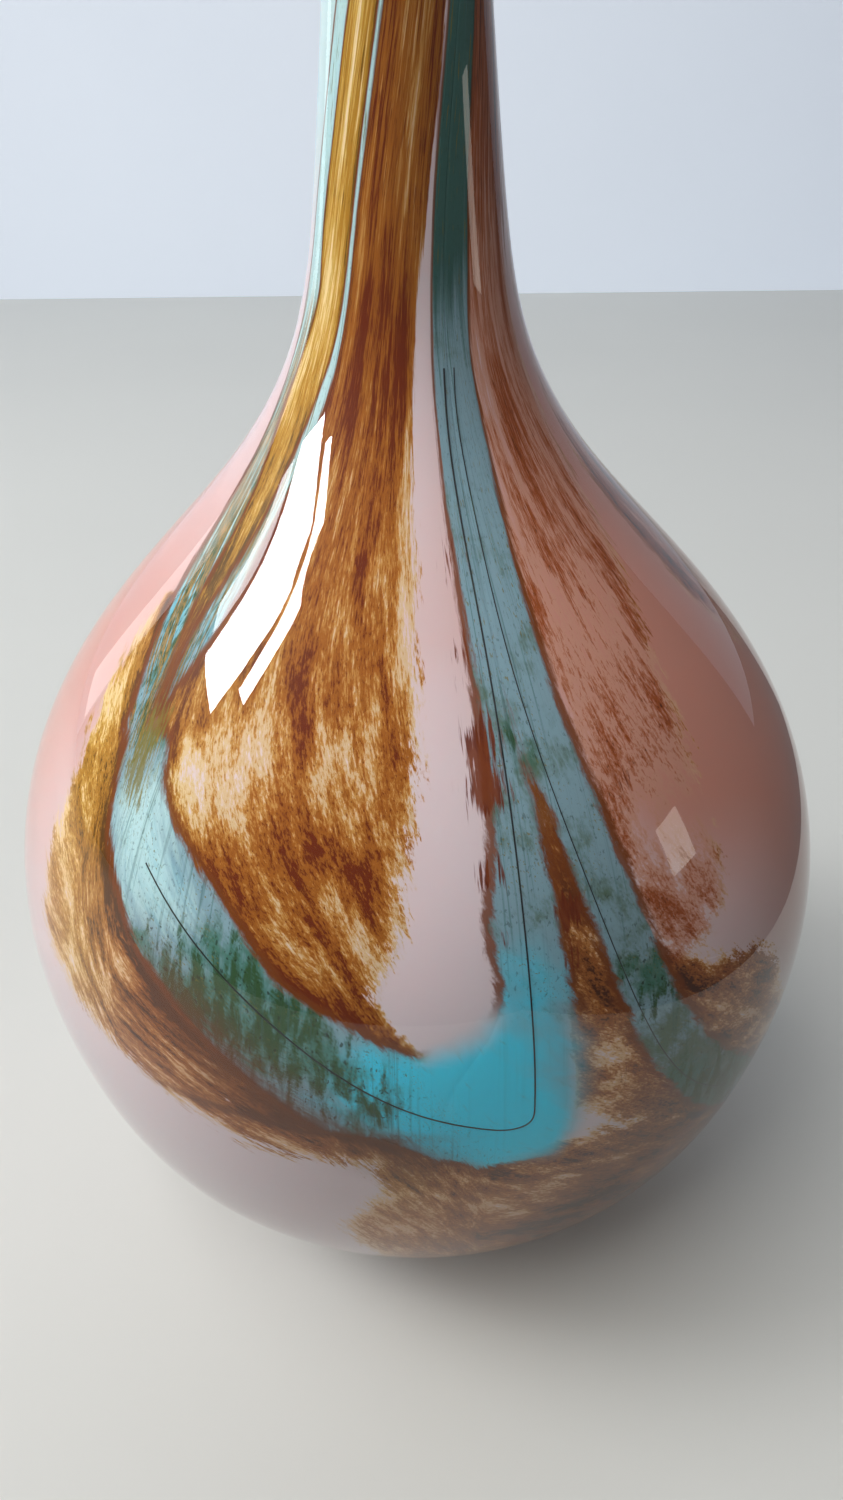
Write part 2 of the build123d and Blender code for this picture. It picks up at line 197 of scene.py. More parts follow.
DENSE_SPOTS = [
    (-17, 113, 6, 0.7), (-20, 103, 5, 0.2), (-8, 95, 5, 0.1), (-14, 182, 18, 0.8),
    (-2, 124, 5, 0.5), (-3, 108, 4, 0.2), (-18, 134, 8, 0.4), (-13, 150, 9, 0.4),
    (-22, 165, 10, 0.4), (-8, 175, 14, 0.5), (-48, 108, 8, 0.6), (-41, 97, 6, 0.8),
    (-48, 145, 6, 0.8), (76, 140, 14, 1.0), (82, 150, 12, 0.9), (47, 134, 6, 0.7),
    (45, 146, 6, 0.4), (30, 120, 4, 0.8), (36, 152, 5, 0.5), (42, 162, 6, 0.5), (46, 80, 10, 0.3),
    (36, 84, 6, 0.4), (24, 71, 6, 0.1), (30, 64, 7, 0.3), (26, 52, 14, 0.4), (42, 44, 14, 0.6),
    (18, 38, 10, 0.8), (28, 26, 18, 0.7), (6, 40, 7, 0.5), (10, 58, 6, 0.4), (60, 160, 24, 0.5),
    (20, 108, 4, 0.9), (22, 92, 4, 0.3), (-20, 72, 9, 0.5), (-8, 67, 7, 0.6), (-33, 80, 7, 0.4),
    (-33, 117, 9, -1.9), (-28, 124, 6, -0.8), (-40, 112, 4, -0.5), (-9, 126, 5, -0.7),
    (-15, 122, 4, -0.5), (-7, 104, 3, -0.6), (14, 50, 8, -1.0), (0, 48, 8, -0.5),
    (-52, 88, 8, -0.5), (-50, 78, 7, -0.6), (-2, 100, 4, -0.3), (20, 66, 5, -1.2),
    (22, 82, 5, -0.9), (23, 74, 4, -0.6), (36, 112, 9, -0.5), (-56, 180, 12, -0.5),
    (-58, 215, 30, -0.6), (-6, 215, 30, 0.5), (66, 215, 40, 1.0), (-14, 30, 10, -0.6),
    (-6, 46, 7, -0.5), (-4, 148, 7, -0.4), (-30, 190, 5, -0.6), (8, 26, 8, -0.4),
    (-4, 30, 8, -0.3),
]

# the values that are nothing but a sum of spots
SPOT_VALUES = {
    "soft": SOFT_SPOTS,
    "bright": BRIGHT_SPOTS,
    "pale": PALE_SPOTS,
    "pink": PINK_AND_GLOW_SPOTS,
    "green": GREEN_SPOTS,
    "bark": BARK_SPOTS,
    "veil": VEIL_SPOTS,
    "shade": SHADE_SPOTS,
}


# ---------------------------------------------------------------------------------------------
# reading the frame
# ---------------------------------------------------------------------------------------------

def mesh_arrays(node):
    """A CAD node's vertices and triangles as arrays."""
    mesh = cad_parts[node].data
    mesh.calc_loop_triangles()
    points = np.empty(len(mesh.vertices) * 3)
    mesh.vertices.foreach_get("co", points)
    corners = np.empty(len(mesh.loop_triangles) * 3, dtype=np.int64)
    mesh.loop_triangles.foreach_get("vertices", corners)
    return points.reshape(-1, 3), corners.reshape(-1, 3)


def wall_profile(node, outward):
    """The (height, radius) points of a node's outer or inner wall, from its faces that look that way."""
    points, corners = mesh_arrays(node)
    a, b, c = (points[corners[:, i]] for i in range(3))
    normal = np.cross(b - a, c - a)
    normal /= np.linalg.norm(normal, axis=1)[:, None] + 1e-12
    middle = (a + b + c) / 3
    ring = np.hypot(middle[:, 0], middle[:, 1]) + 1e-9
    away = (normal[:, 0] * middle[:, 0] + normal[:, 1] * middle[:, 1]) / ring
    chosen = corners[away > WALL_FACING] if outward else corners[away < -WALL_FACING]
    used = points[np.unique(chosen)]
    pairs = np.stack([used[:, 2], np.hypot(used[:, 0], used[:, 1])], 1)
    return np.unique(np.round(pairs, 6), axis=0)


def cubic(xs, ys):
    """A natural cubic spline through points, as a function."""
    n = len(xs)
    h = np.diff(xs)
    system = np.eye(n)
    right = np.zeros(n)
    for i in range(1, n - 1):
        system[i, i - 1:i + 2] = (h[i - 1], 2 * (h[i - 1] + h[i]), h[i])
        right[i] = 6 * ((ys[i + 1] - ys[i]) / h[i] - (ys[i] - ys[i - 1]) / h[i - 1])
    bend = np.linalg.solve(system, right)

    def at(x):
        x = np.asarray(x, dtype=float)
        i = np.clip(np.searchsorted(xs, x) - 1, 0, n - 2)
        left, span = x - xs[i], xs[i + 1] - xs[i]
        rest = span - left
        curve = bend[i] * rest ** 3 / (6 * span) + bend[i + 1] * left ** 3 / (6 * span)
        low = ys[i] / span - bend[i] * span / 6
        high = ys[i + 1] / span - bend[i + 1] * span / 6
        return curve + low * rest + high * left
    return at


def smooth_profile(node, outward, low, high, step=4.0 * MM):
    """Radius against height of a wall of the frame, as a smooth function."""
    pairs = wall_profile(node, outward)
    pairs = pairs[(pairs[:, 0] >= low) & (pairs[:, 0] <= high)]
    kept = []
    for start in np.arange(low, high, step):
        near = pairs[(pairs[:, 0] >= start) & (pairs[:, 0] < start + step * 0.7)]
        if len(near):
            kept.append(near[np.argmax(near[:, 1]) if outward else np.argmin(near[:, 1])])
    kept = np.array(kept)
    return cubic(kept[:, 0], kept[:, 1])


def outline(node, levels=72):
    """A decoration's outline as (heights, left angles, right angles), sliced out of its CAD node."""
    points, corners = mesh_arrays(node)
    x, y = points[:, 0], points[:, 1]
    centre = np.arctan2(np.mean(x / np.hypot(x, y)), -np.mean(y / np.hypot(x, y)))
    angle = np.degrees(centre + (np.arctan2(x, -y) - centre + pi) % (2 * pi) - pi)
    low, high = points[:, 2].min(), points[:, 2].max()
    margin = (high - low) * 0.004
    heights = np.linspace(low + margin, high - margin, levels)
    edges = np.concatenate([corners[:, [0, 1]], corners[:, [1, 2]], corners[:, [2, 0]]])
    z0, z1 = points[edges[:, 0], 2], points[edges[:, 1], 2]
    a0, a1 = angle[edges[:, 0]], angle[edges[:, 1]]
    left, right = np.empty(levels), np.empty(levels)
    for i, height in enumerate(heights):
        cut = (z0 - height) * (z1 - height) <= 0
        cut &= np.abs(z1 - z0) > 1e-9
        at = a0[cut] + (a1[cut] - a0[cut]) * (height - z0[cut]) / (z1[cut] - z0[cut])
        left[i], right[i] = at.min(), at.max()
    heights[0], heights[-1] = low, high
    return heights, left, right


outer_radius = smooth_profile("clear_casing", True, 0.0, TOP - LIP_START)
seam_radius = smooth_profile("clear_casing", False, 4.0 * MM, TOP - 2.0 * MM)
cavity_radius = smooth_profile("opal_core", False, 8.0 * MM, TOP)
DECOR = sorted(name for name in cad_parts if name.startswith(("ribbon_", "frit_", "knot_")))
THREADS = sorted(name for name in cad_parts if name.startswith("thread_"))
OUTLINES = {name: outline(name) for name in DECOR + THREADS}


def wobble(angle, height):
    """How far the hand-blown wall is off a true circle, in metres."""
    a = np.radians(angle)
    z = height / TOP * 2 * pi
    oval = 0.16 * np.sin(2 * a + 0.6 + z)
    three_sided = 0.10 * np.sin(3 * a - 1.1 - 1.7 * z)
    five_sided = 0.05 * np.sin(5 * a + 2.3 * z)
    return (oval + three_sided + five_sided) * MM


def wall_point(angle, height, radius):
    """Points at an angle, a height and a radius, with the hand-blown wobble."""
    a = np.radians(angle)
    r = radius + wobble(angle, height) * np.clip(radius / (30 * MM), 0.0, 1.0)
    return np.stack([r * np.sin(a), -r * np.cos(a), height + 0 * r], -1)


# ---------------------------------------------------------------------------------------------
# what the decoration's shaders read at each point of a surface
# ---------------------------------------------------------------------------------------------

def inside_distance(name, angle, height):
    """How far points on the wall are inside a piece of decoration, in millimetres, negative outside."""
    heights, left, right = OUTLINES[name]
    radius = seam_radius(np.clip(height, 5 * MM, TOP)) / MM
    edge_left, edge_right = np.interp(height, heights, left), np.interp(height, heights, right)
    middle = (edge_left + edge_right) / 2
    near = middle + (angle - middle + 180) % 360 - 180
    slope_left = radians(1) * radius * np.interp(height, heights, np.gradient(left, heights / MM))
    slope_right = radians(1) * radius * np.interp(height, heights, np.gradient(right, heights / MM))
    from_left = (near - edge_left) * radians(1) * radius / np.hypot(1, slope_left)
    from_right = (edge_right - near) * radians(1) * radius / np.hypot(1, slope_right)
    inside = np.minimum(from_left, from_right)
    return np.minimum(inside, np.minimum(height - heights[0], heights[-1] - height) / MM)


def joined(distances, blend):
    """A smooth union of distances, with no edge where two pieces meet closer than the blend."""
    total = distances[0]
    for other in distances[1:]:
        near = np.clip(0.5 + 0.5 * (other - total) / blend, 0, 1)
        total = total * (1 - near) + other * near + blend * near * (1 - near)
    return total


def spots(table, angle, height):
    """The sum of some soft spots at points on the wall."""
    total = np.zeros_like(angle)
    for at, level, size, amount in table:
        radius = np.maximum(seam_radius(np.clip(height, 5 * MM, TOP)) / MM, SPOT_RADIUS)
        across = ((angle - at + 180) % 360 - 180) * radians(1) * radius
        total += amount * np.exp(-(across ** 2 + (height / MM - level) ** 2) / (2 * (0.62 * size) ** 2))
    return total


# the lean, and the way along the flow lines, summed over the height in steps of half a millimetre
lean_levels = np.linspace(0, 300, 601)
lean_rate = np.interp(lean_levels, *zip(*LEAN))
lean_sum = np.cumsum(lean_rate[::-1])[::-1] * 0.5
along_rate = np.hypot(1, lean_rate * 1.3) * np.clip(seam_radius(lean_levels * MM) / (60 * MM), 0.15, 1.0)
along_sum = np.cumsum(along_rate) * 0.5


def ease(value, low, high):
    """A soft step from 0 to 1 between two values."""
    t = np.clip((value - low) / (high - low), 0, 1)
    return t * t * (3 - 2 * t)


def neck_turn(height):
    """How far the neck is twisted at a height, in degrees, from the front ribbon's leg."""
    heights, left, _right = OUTLINES["ribbon_front_leg"]
    start = np.interp(TWIST_START, heights, left)
    return np.where(height > TWIST_START, np.interp(height, heights, left) - start, 0.0)


def under_the_sweep(name, angle, height):
    """The brown smear along the lower edge of a swept ribbon."""
    heights, left, _right = OUTLINES[name]
    near = left[0] + (angle - left[0] + 180) % 360 - 180
    above = (near - np.interp(height, heights, left)) * 1.3
    above /= np.hypot(1, 1.3 * np.interp(height, heights, np.gradient(left, heights / MM)))
    from_corner = left[0] - near
    ends = ease(from_corner, -8, 8) * ease(-from_corner, -42, -26) * ease(height, 58 * MM, 64 * MM)
    return np.exp(-((above + 0.5) / 6.0) ** 2) * ends


def depth_by_kind(angle, height, melted):
    """How far points are inside each kind of glass, in millimetres, with melted ribbons run together."""
    depth = {}
    for kind, starts in KINDS.items():
        pieces = [inside_distance(name, angle, height) for name in DECOR if name.startswith(starts)]
        narrow = np.clip(60 * MM / seam_radius(np.maximum(height, 6 * MM)), 1, 4)
        depth[kind] = joined(pieces, KIND_BLEND) * narrow
    ribbon_nodes = [name for name in DECOR if name.startswith(KINDS["turquoise"])]
    ribbons = [inside_distance(name, angle, height) for name in ribbon_nodes]
    depth["turquoise"] += (joined(ribbons, MELTED_BLEND) - depth["turquoise"]) * melted
    beside = ease(depth["turquoise"], -7, -0.5)
    for kind in LOADS:
        depth[kind] = depth[kind] + 8 * beside * ease(depth[kind], -1.2, 0.2)
    return depth


def crushed_values(depth, angle, height, untwisted):
    """How densely crushed glass lies at points, and the share of each kind in it."""
    values = {"cover": joined([depth[kind] for kind in LOADS], COVER_BLEND)}
    values["dense"] = 0.32 * spots(DENSE_SPOTS, untwisted, height)
    border = 0.06 + 0.36 * ease(-angle, -5, 10)
    border *= np.exp(-((depth["turquoise"] + 0.6) / 2.2) ** 2)
    values["dense"] += border * ease(values["cover"], -1, 1)
    for kind, load in LOADS.items():
        share = ease(depth[kind], -3, 3)
        values["dense"] += load * share * ease(depth[kind], -4, 5)
        if kind != "amber":
            values[kind] = share
    values["gold"] = np.minimum(values["gold"] + spots(GOLD_SPOTS, untwisted, height), 1.0)
    return values


def flow_values(angle, height, untwisted):
    """Where points lie across and along the lines in which the glass was combed and drawn out."""
    share = 0.5 + 0.5 * np.clip((8 - angle) / 20, 0, 1) + 0.5 * np.clip((angle - 150) / 20, 0, 1)
    combed = np.interp(height / MM, lean_levels, lean_sum) * share
    combed += 0.42 * (170 - np.clip(height / MM, 120, 170)) * np.clip((-40 - angle) / 10, 0, 1)
    low = ease(-height, -60 * MM, -40 * MM)
    neck = ease(height, 165 * MM, 200 * MM)
    return {
        "neck": neck,
        "coarse": np.maximum(neck, 0.6 * low),
        "across": (untwisted - combed) * 1.3,
        "along": np.interp(height / MM, lean_levels, along_sum),
        "round": angle * 1.3,
        "level": height / MM,
    }


def paint_values(angle, height):
    """Every value that the glass shaders read, by name, at points on the wall."""
    angle = (angle + 160) % 360 - 160
    untwisted = angle - neck_turn(height)
    melted = np.clip(spots(SOFT_SPOTS, untwisted, height), 0, 1)
    depth = depth_by_kind(angle, height, melted)
    values = {"turquoise": depth["turquoise"], "olive": depth["olive"]}
    values.update(crushed_values(depth, angle, height, untwisted))
    values.update(flow_values(angle, height, untwisted))
    sweeps = ("ribbon_front_sweep", "ribbon_back_sweep")
    values["smear"] = sum(under_the_sweep(name, angle, height) for name in sweeps)
    values["aqua"] = ease(height, 180 * MM, 215 * MM) * ease(TOP - height, 9 * MM, 16 * MM)
    values["aqua"] *= ease(untwisted, -160, -140) * ease(-untwisted, 66, 76)
    for name, table in SPOT_VALUES.items():
        values[name] = spots(table, untwisted, height)
    return values


def paint(piece, angle, height):
    """Store the shaders' values on a piece's vertices."""
    for name, value in paint_values(angle, height).items():
        layer = piece.data.attributes.new(name, "FLOAT", "POINT")
        layer.data.foreach_set("value", np.ascontiguousarray(value, dtype=np.float32))


# ---------------------------------------------------------------------------------------------
# meshes
# ---------------------------------------------------------------------------------------------

def new_piece(name, points, faces, material, replaced):
    """A smooth mesh piece that rides on the vase and stands for CAD nodes."""
    mesh = bpy.data.meshes.new(name)
    mesh.from_pydata([tuple(p) for p in points], [], [tuple(int(i) for i in f) for f in faces])
    mesh.polygons.foreach_set("use_smooth", [True] * len(mesh.polygons))
    mesh.validate()
    mesh.update()
    piece = bpy.data.objects.new(name, mesh)
    bpy.context.scene.collection.objects.link(piece)
    piece.data.materials.append(material)
    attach(piece, "root")
    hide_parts(*replaced)
    return piece


def lathe_faces(rings, columns):
    """Quads between rings of points."""
    faces = []
    for i in range(rings - 1):
        for j in range(columns):
            a, b = i * columns + j, i * columns + (j + 1) % columns
            faces.append((a, b, b + columns, a + columns))
    return faces


def lathe(name, section, material, replaced, columns=WALL_COLUMNS):
    """A body of revolution from a section (radius, height) that starts and ends on the axis."""
    section = np.array(section)
    ring = section[1:-1]
    angle = np.linspace(-180, 180, columns, endpoint=False)
    angles = np.tile(angle, len(ring))
    radii, heights = np.repeat(ring[:, 0], columns), np.repeat(ring[:, 1], columns)
    points = wall_point(angles, heights, radii)
    faces = lathe_faces(len(ring), columns)
    low, high = len(points), len(points) + 1
    points = np.concatenate([points, [[0, 0, section[0, 1]], [0, 0, section[-1, 1]]]])
    last = (len(ring) - 1) * columns
    for j in range(columns):
        faces.append((low, (j + 1) % columns, j))
        faces.append((high, last + j, last + (j + 1) % columns))
    piece = new_piece(name, points, faces, material, replaced)
    return piece, np.append(angles, [0, 0]), np.append(heights, [section[0, 1], section[-1, 1]])


def shell_grid(node):
    """Rows and columns of angles and heights over a decoration's outline, spaced along its length."""
    heights, left, right = OUTLINES[node]
    turn = np.maximum(np.abs(np.diff(left)), np.abs(np.diff(right)))
    run = np.hypot(np.diff(heights), radians(1) * seam_radius(np.maximum(heights[1:], 6 * MM)) * turn)
    length = np.append(0.0, np.cumsum(run))
    rows = max(6, int(length[-1] / (1.5 * CELL)))
    level = np.interp(np.linspace(0, length[-1], rows), length, heights)
    edge_left, edge_right = np.interp(level, heights, left), np.interp(level, heights, right)
    widest = np.max((edge_right - edge_left) * radians(1) * seam_radius(level))
    columns = max(4, int(widest / CELL))
    t = np.linspace(0, 1, columns)
    angle = (edge_left[:, None] + (edge_right - edge_left)[:, None] * t).ravel()
    return rows, columns, angle, np.repeat(level, columns)


def shell_faces(rows, columns):
    """Quads of a shell's outer and inner face, and of the rim between them."""
    count = rows * columns
    faces = []
    for i in range(rows - 1):
        for j in range(columns - 1):
            a, b = i * columns + j, i * columns + j + 1
            c, d = b + columns, a + columns
            faces.append((a, b, c, d))
            faces.append((d + count, c + count, b + count, a + count))
    rim = list(range(columns)) + [i * columns + columns - 1 for i in range(1, rows)]
    rim += [count - 1 - j for j in range(1, columns)] + [i * columns for i in range(rows - 2, 0, -1)]
    for a, b in zip(rim, rim[1:] + rim[:1]):
        faces.append((b, a, a + count, b + count))
    return faces


def shell(name, node, material, slot):
    """A thin closed shell in the opal, with the outline of a piece of decoration."""
    rows, columns, angle, height = shell_grid(node)
    tucked = np.ones((rows, columns), bool)
    tucked[1:-1, 1:-1] = False
    proud = DECOR_PROUD + DECOR_STEP * DECOR.index(node)
    face = seam_radius(height) - OPAL_SINK + np.where(tucked.ravel(), -DECOR_PROUD, proud)
    outer = wall_point(angle, height, face)
    inner = wall_point(angle, height, face - DECOR_THICK)
    points = np.concatenate([outer, inner])
    piece = new_piece(name, points, shell_faces(rows, columns), material, [node])
    ends = np.empty(len(piece.data.edges) * 2, dtype=np.int64)
    piece.data.edges.foreach_get("vertices", ends)
    on_rim = np.tile(tucked.ravel(), 2)[ends.reshape(-1, 2)].all(axis=1)
    piece.data.edges.foreach_set("use_edge_sharp", on_rim)
    paint(piece, np.tile(angle, 2), np.tile(height, 2))
    return piece


def tube(name, points, radius):
    """The mesh of a round tube along points."""
    line = bpy.data.curves.new(name, "CURVE")
    line.dimensions = "3D"
    spline = line.splines.new("NURBS")
    spline.points.add(len(points) - 1)
    for point, place in zip(spline.points, points):
        point.co = (*place, 1.0)
    spline.order_u = 3
    spline.use_endpoint_u = True
    spline.resolution_u = 6
    line.bevel_depth = radius
    line.bevel_resolution = 2
    line.use_fill_caps = True
    drawn = bpy.data.objects.new(name + "_line", line)
    bpy.context.scene.collection.objects.link(drawn)
    bpy.context.view_layer.update()
    mesh = bpy.data.meshes.new_from_object(drawn.evaluated_get(bpy.context.evaluated_depsgraph_get()))
    bpy.data.objects.remove(drawn)
    mesh.name = name
    mesh.materials.clear()
    return mesh


def thread_piece(name, course, radius, material, replaced):
    """A drawn thread, a fine tube along points (angle, height) on the ribbons."""
    angle, height = np.array(course).T
    points = wall_point(angle, height, seam_radius(height) - OPAL_SINK + THREAD_PROUD)
    mesh = tube(name, points, radius)
    mesh.polygons.foreach_set("use_smooth", [True] * len(mesh.polygons))
    mesh.materials.append(material)
    piece = bpy.data.objects.new(name, mesh)
    bpy.context.scene.collection.objects.link(piece)
    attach(piece, "root")
    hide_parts(*replaced)
    return piece


# ---------------------------------------------------------------------------------------------
# materials
# ---------------------------------------------------------------------------------------------

def linear(colour):
    """A colour given from 0 to 255 as Blender's linear red, green, blue and alpha."""
    parts = [c / 255 for c in colour]
    return tuple(c / 12.92 if c < 0.04045 else ((c + 0.055) / 1.055) ** 2.4 for c in parts) + (1.0,)


class Nodes:
    """Short names for making shader nodes in one tree."""

    def __init__(self, tree):
        self.tree = tree

    def put(self, socket, value):
        if isinstance(value, bpy.types.NodeSocket):
            self.tree.links.new(value, socket)
        else:
            socket.default_value = value

    def node(self, kind, **settings):
        made = self.tree.nodes.new(kind)
        for key, value in settings.items():
            setattr(made, key, value)
        return made

    def value(self, name):
        return self.node("ShaderNodeAttribute", attribute_name=name).outputs["Fac"]

    def math(self, operation, a, b=0.0):
        made = self.node("ShaderNodeMath", operation=operation)
        self.put(made.inputs[0], a)
        self.put(made.inputs[1], b)
        return made.outputs[0]

    def between(self, value, low, high, to_low=0.0, to_high=1.0):
        made = self.node("ShaderNodeMapRange", interpolation_type="SMOOTHSTEP")
        self.put(made.inputs["Value"], value)
        self.put(made.inputs["From Min"], low)
        self.put(made.inputs["From Max"], high)
        self.put(made.inputs["To Min"], to_low)
        self.put(made.inputs["To Max"], to_high)
        return made.outputs["Result"]

    def mix(self, share, a, b):
        made = self.node("ShaderNodeMix", data_type="RGBA")
        self.put(made.inputs["Factor"], share)
        self.put(made.inputs["A"], linear(COLOURS[a]) if isinstance(a, str) else a)
        self.put(made.inputs["B"], linear(COLOURS[b]) if isinstance(b, str) else b)
        return made.outputs["Result"]

    def place(self, across, along, seed=0.0):
        """The place on the wall in flow lines: across them, along them, with a size for each."""
        made = self.node("ShaderNodeCombineXYZ")
        self.put(made.inputs[0], self.math("MULTIPLY", self.value("across"), across))
        self.put(made.inputs[1], self.math("MULTIPLY", self.value("along"), along))
        made.inputs[2].default_value = seed
        return made.outputs[0]

    def noise(self, place, scale=1.0, detail=2.0, rough=0.5, warp=0.0):
        made = self.node("ShaderNodeTexNoise")
        self.put(made.inputs["Vector"], place)
        made.inputs["Scale"].default_value = scale
        made.inputs["Detail"].default_value = detail
        made.inputs["Roughness"].default_value = rough
        made.inputs["Distortion"].default_value = warp
        return made.outputs["Fac"]

    def flow(self, across, along, seed, detail=2.0, rough=0.55, warp=0.3):
        """Noise along the flow lines, coarser where the glass was drawn out most."""
        near = self.noise(self.place(across, along, seed), 1.0, detail, rough, warp)
        drawn = self.noise(self.place(across * 0.3, along * 0.5, seed + 20), 1.0, detail, rough, warp)
        made = self.node("ShaderNodeMix", data_type="FLOAT")
        self.put(made.inputs["Factor"], self.value("coarse"))
        self.put(made.inputs["A"], near)
        self.put(made.inputs["B"], drawn)
        return made.outputs["Result"]

    def dribble(self, across, along, seed, detail=3.0):
        """Noise in upright dribbles that don't lean with the combing."""
        made = self.node("ShaderNodeCombineXYZ")
        self.put(made.inputs[0], self.math("MULTIPLY", self.value("round"), across))
        self.put(made.inputs[1], self.math("MULTIPLY", self.value("level"), along))
        made.inputs[2].default_value = seed
        return self.noise(made.outputs[0], 1.0, detail, 0.6, 0.4)

    def about(self, noise, amount):
        """A noise about zero, with an amount."""
        return self.math("MULTIPLY", self.math("SUBTRACT", noise, 0.5), amount)

    def total(self, first, *others):
        for other in others:
            first = self.math("ADD", first, other)
        return first

    def times(self, first, *others):
        for other in others:
            first = self.math("MULTIPLY", first, other)
        return first


class Flows:
    """The noises that the layers of glass share, so that their streaks run together."""

    def __init__(self, n):
        self.body = n.node("ShaderNodeTexCoord").outputs["Object"]
        self.clump = n.flow(0.15, 0.07, 3.0)
        self.streak = n.flow(0.55, 0.13, 1.0, 4.0, 0.62)
        self.fine = n.flow(1.7, 0.75, 5.0, 4.0, 0.72)
        self.speck = n.flow(2.2, 1.3, 9.0)
        self.cloud = n.noise(self.body, 110.0, 4.0, 0.6)
        self.upright = n.dribble(0.50, 0.15, 31.0)
        self.soft = n.between(n.value("soft"), 0.25, 0.85)
        self.hard = n.math("SUBTRACT", 1.0, self.soft)


def opal_ground(n, flows):
    """Pale opal, pinker in places, with a painted glow of light through the glass at its left edge, and a
    turquoise tint down one side of the neck.
    """
    haze = n.noise(flows.body, 22.0, 3.0)
    # the pink spots hold the opal's pink tint and the painted glow at the left edge
    pink = n.total(n.times(n.value("pink"), 0.9), n.about(haze, 0.25))
    ground = n.mix(n.between(pink, 0.0, 0.95), "opal", "opal pink")
    return n.mix(n.times(n.value("aqua"), 0.8), ground, "turquoise pale")


def grain_colours(n):
    """The cream, light, mid and dark colours of the crushed glass, each mixed from its kinds."""
    grains = {}
    for tone in ("cream", "light", "mid", "dark"):
        shade = n.mix(n.value("brown"), tone + " amber", tone + " brown")
        shade = n.mix(n.value("gold"), shade, tone + " gold")
        grains[tone] = n.mix(n.value("rust"), shade, tone + " rust")
    return grains


def crushed_glass(n, flows, ground):
    """Crushed glass: from a cream haze through fibres to dark cores, ragged at its edge."""
    reach = n.total(n.value("cover"), n.about(flows.streak, 10.0), n.about(flows.fine, 8.0))
    load = n.total(n.value("dense"), n.about(flows.clump, 1.7), n.about(flows.streak, 1.1))
    load = n.total(load, n.about(flows.fine, 1.6))
    grains = grain_colours(n)
    glass = n.mix(n.between(load, 0.18, 0.34), grains["cream"], grains["light"])
    glass = n.mix(n.between(load, 0.36, 0.56), glass, grains["mid"])
    glass = n.mix(n.between(load, 0.64, 0.92), glass, grains["dark"])
    dots = n.times(n.between(flows.speck, 0.60, 0.68), n.between(load, 0.15, 0.5))
    glass = n.mix(n.times(dots, 0.75), glass, grains["dark"])
    there = n.times(n.between(reach, -0.4, 1.2), n.between(load, -0.20, 0.12))
    return n.mix(there, ground, glass)


def ribbon_glass(n, flows):
    """The ribbons' own glass: grey turquoise with bright, pale, shaded and deep parts."""
    shade = n.total(n.value("shade"), n.about(flows.cloud, 3.6), n.about(flows.fine, 0.9))
    shade = n.total(shade, n.about(flows.streak, 1.2))
    blue = n.mix(n.between(shade, 0.15, 1.1), "turquoise grey", "turquoise shade")
    bright = n.total(n.value("bright"), n.about(flows.clump, 0.8))
    blue = n.mix(n.between(bright, 0.1, 0.9), blue, "turquoise")
    pale = n.total(n.value("pale"), n.about(flows.streak, 1.2))
    blue = n.mix(n.times(n.between(pale, 0.1, 0.8), 0.9), blue, "turquoise pale")
    deep = n.times(n.value("neck"), n.between(n.value("pale"), 0.0, 0.3, 1.0, 0.0))
    deep = n.total(deep, n.about(flows.streak, 2.0))
    return n.mix(n.between(deep, 0.15, 0.9), blue, "turquoise deep")


def stained(n, flows, blue):
    """The ribbons' green and brown stains, their specks and their dark veins."""
    green = n.value("green")
    sea = n.total(green, n.about(flows.cloud, 3.0), n.about(flows.upright, 2.0))
    sea = n.times(n.between(sea, 0.15, 1.0), n.between(green, 0.0, 0.4))
    blue = n.mix(n.times(sea, 0.8), blue, "sea")
    moss = n.total(green, n.about(flows.upright, 5.0), n.about(flows.fine, 2.2))
    moss = n.times(n.between(moss, 0.35, 1.35), n.between(green, 0.05, 0.35))
    blue = n.mix(n.times(moss, 0.9), blue, "moss")
    fleck = n.times(n.between(flows.speck, 0.61, 0.67), n.between(flows.clump, 0.42, 0.6))
    blue = n.mix(n.times(fleck, flows.hard, 0.8), blue, "olive")
    dirt = n.times(n.between(n.dribble(1.5, 1.0, 51.0), 0.59, 0.67), flows.hard)
    dirt = n.times(dirt, n.between(green, 0.1, 0.5, 0.5, 1.0))
    blue = n.mix(n.times(dirt, 0.8), blue, "soot")
    drawn_out = n.about(n.flow(0.9, 0.10, 71.0), 6.0)
    veil = n.total(n.value("veil"), drawn_out, n.about(flows.fine, 1.0), -0.15)
    veil = n.times(n.between(veil, 0.45, 0.95), n.between(n.value("veil"), 0.05, 0.4))
    veil_colour = n.mix(n.between(flows.fine, 0.4, 0.6), "mid gold", "moss")
    blue = n.mix(n.times(veil, 0.9), blue, veil_colour)
    veins = n.between(n.dribble(1.4, 0.03, 41.0), 0.52, 0.72)
    veins = n.times(veins, n.between(n.value("soft"), 0.0, 0.5, 0.55, 0.1))
    return n.mix(veins, blue, "turquoise deep")


def ribbons_over(n, flows, ground):
    """Ribbons with a ragged dark fringe, except where they melted softly into the opal."""
    ragged = n.times(n.total(n.about(flows.streak, 3.0), n.about(flows.fine, 1.6)), flows.hard)
    edge = n.total(n.value("turquoise"), ragged)
    sharp = n.times(n.between(edge, -0.3, 0.3), flows.hard)
    blurred = n.times(n.between(edge, -3.0, 3.2), flows.soft)
    rim = n.between(n.math("ABSOLUTE", n.total(edge, 0.3)), 0.2, 1.3, 1.0, 0.0)
    drawn = n.total(n.flow(0.35, 0.10, 12.0), n.between(n.value("level"), 95.0, 140.0, 0.0, 0.25))
    rim = n.times(rim, n.between(drawn, 0.28, 0.44), flows.hard)
    colour = n.mix(n.total(sharp, blurred), ground, stained(n, flows, ribbon_glass(n, flows)))
    return n.mix(n.times(rim, 0.9), colour, "fringe")


